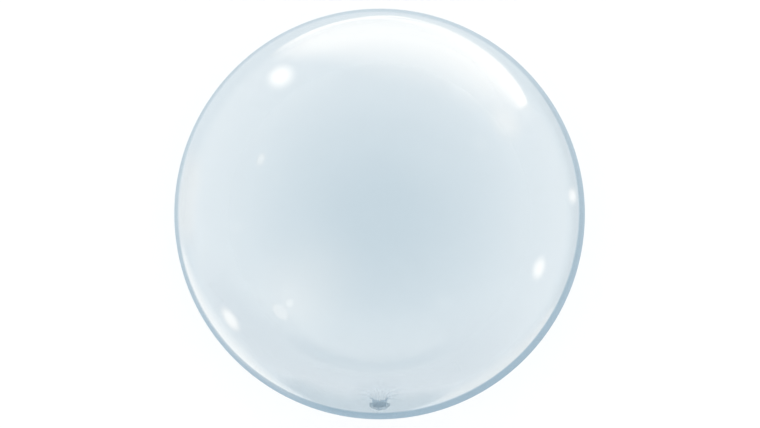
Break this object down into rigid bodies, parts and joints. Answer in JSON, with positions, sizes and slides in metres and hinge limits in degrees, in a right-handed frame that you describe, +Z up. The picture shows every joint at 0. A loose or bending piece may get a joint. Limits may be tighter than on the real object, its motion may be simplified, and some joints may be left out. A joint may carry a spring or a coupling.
{
  "type": "bubble balloon",
  "caption": "Clear round film balloon, blown up to a smooth see-through ball, with a gathered neck and a limp flat filling valve.",
  "frame": {"origin": "centre of the flat spot that the ball lies on, on the surface, straight below the ball's centre", "axes": "+Z up from the surface, -Y towards the side that the neck and valve are on, +X to the right seen from above with the neck at the bottom"},
  "size_m": [0.5598, 0.5598, 0.5561],
  "materials": {
    "clear_film": "clear glossy film with a pale blue tint",
    "valve_film": "clear film, gathered and a little milky"
  },
  "bodies": {
    "root": {"film_ball": "clear_film", "filling_valve": "valve_film"}
  },
  "joints": []
}
